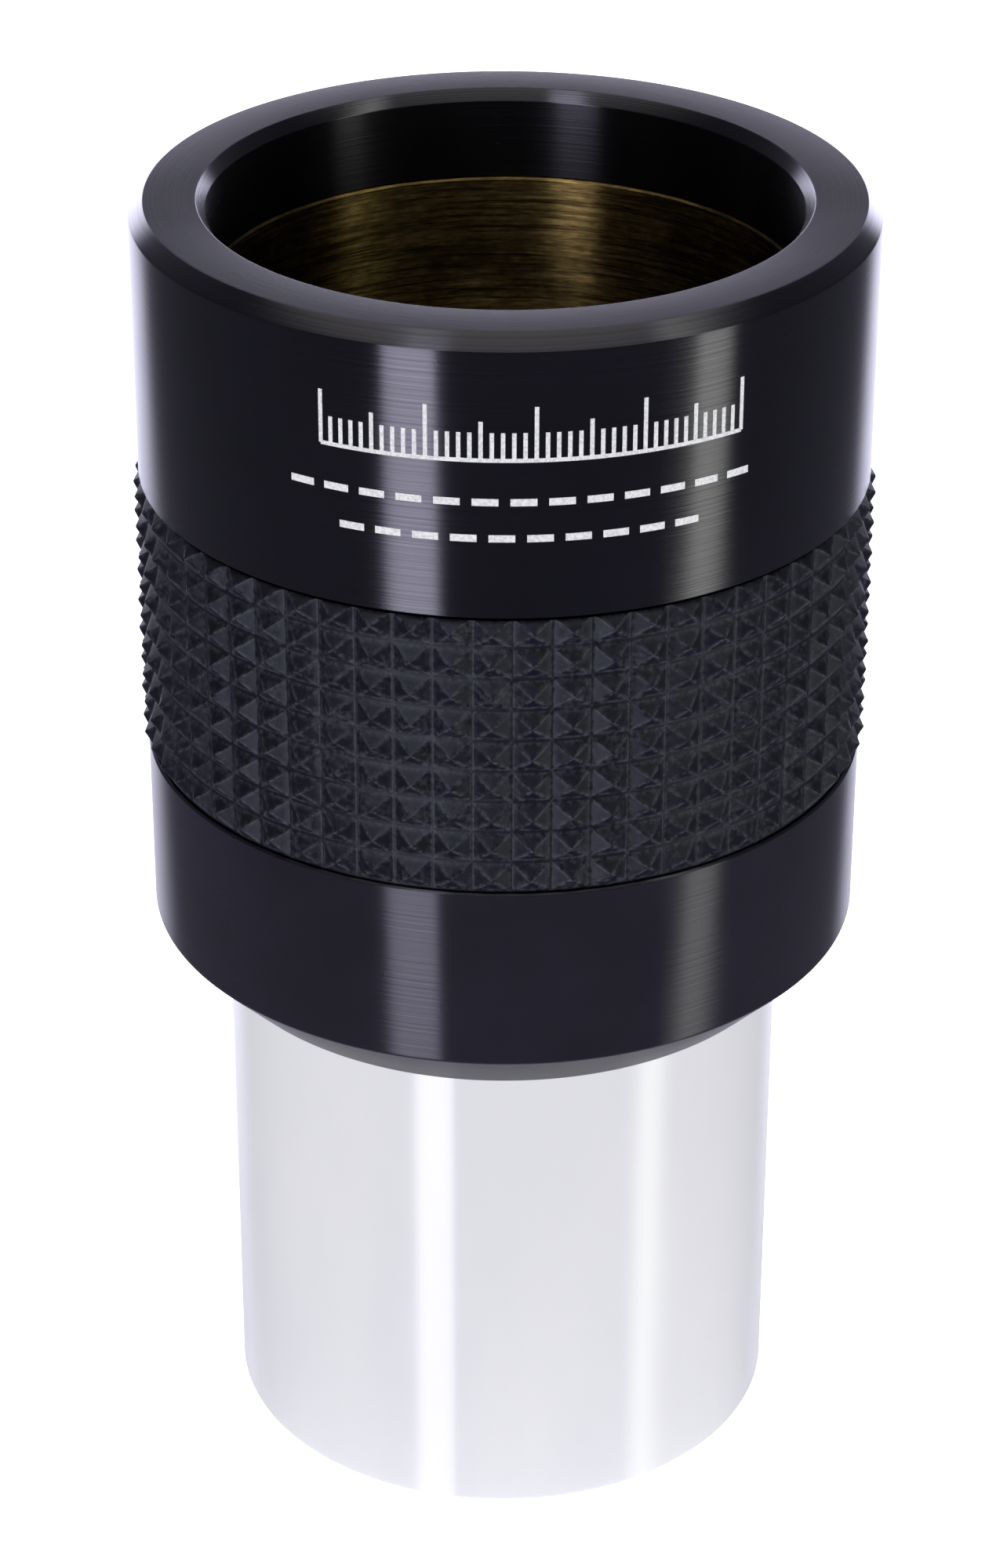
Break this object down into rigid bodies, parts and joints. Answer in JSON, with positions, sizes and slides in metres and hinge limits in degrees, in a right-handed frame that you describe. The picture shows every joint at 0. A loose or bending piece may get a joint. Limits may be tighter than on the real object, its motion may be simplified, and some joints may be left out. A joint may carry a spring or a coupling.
{
  "type": "barlow lens",
  "caption": "Tubular telescope barlow lens: black housing with a rubber grip, an eyepiece socket with a brass clamping ring, a thumbscrew and a silver nosepiece.",
  "frame": {"origin": "centre of the nosepiece's bottom end, on the optical axis", "axes": "+Z along the optical axis towards the eyepiece end; the thumbscrew is on the +Y side"},
  "size_m": [0.0408, 0.0493, 0.0752],
  "materials": {
    "gloss_black_anodised": "black anodised, glossy, with fine turned lines",
    "satin_black_anodised": "black anodised, satin",
    "matt_black_anodised": "black anodised, matt",
    "grip_rubber": "matt, moulded",
    "ring_brass": "turned",
    "screw_steel": "turned",
    "satin_silver": "satin, bead blasted and anodised clear",
    "coated_glass": "polished, with a green antireflection coating"
  },
  "bodies": {
    "body": {"eyepiece_holder": "gloss_black_anodised", "lower_housing": "satin_black_anodised", "rubber_grip": "grip_rubber", "nosepiece_barrel": "satin_silver", "lens_cell": "matt_black_anodised", "front_lens": "coated_glass", "lens_spacer": "matt_black_anodised", "doublet_crown": "coated_glass", "doublet_flint": "coated_glass", "lens_retaining_ring": "matt_black_anodised", "housing_baffle": "matt_black_anodised", "barrel_baffle": "matt_black_anodised", "housing_lock_screws": "screw_steel"},
    "ring": {"compression_ring": "ring_brass"},
    "pad": {"pressure_pad": "ring_brass"},
    "screw": {"thumbscrew_stud": "screw_steel", "thumbscrew_knob": "satin_black_anodised"}
  },
  "joints": [
    {"name": "screw_feed", "type": "slide", "parent": "body", "child": "pad", "axis": [0, 1, 0], "range_m": [-0.00028, 0.0014]},
    {"name": "screw_turn", "type": "hinge", "parent": "pad", "child": "screw", "pos_m": [0, 0.0214, 0.0655], "axis": [0, 1, 0], "range_deg": [-145, 721]},
    {"name": "ring_slide", "type": "slide", "parent": "body", "child": "ring", "axis": [0, 1, 0], "range_m": [-0.00006, 0.000285]}
  ],
  "couplings": [
    {"joint": "screw_turn", "follows": "screw_feed", "rad_per_m": 8976},
    {"joint": "ring_slide", "follows": "screw_feed", "ratio": 0.2}
  ]
}
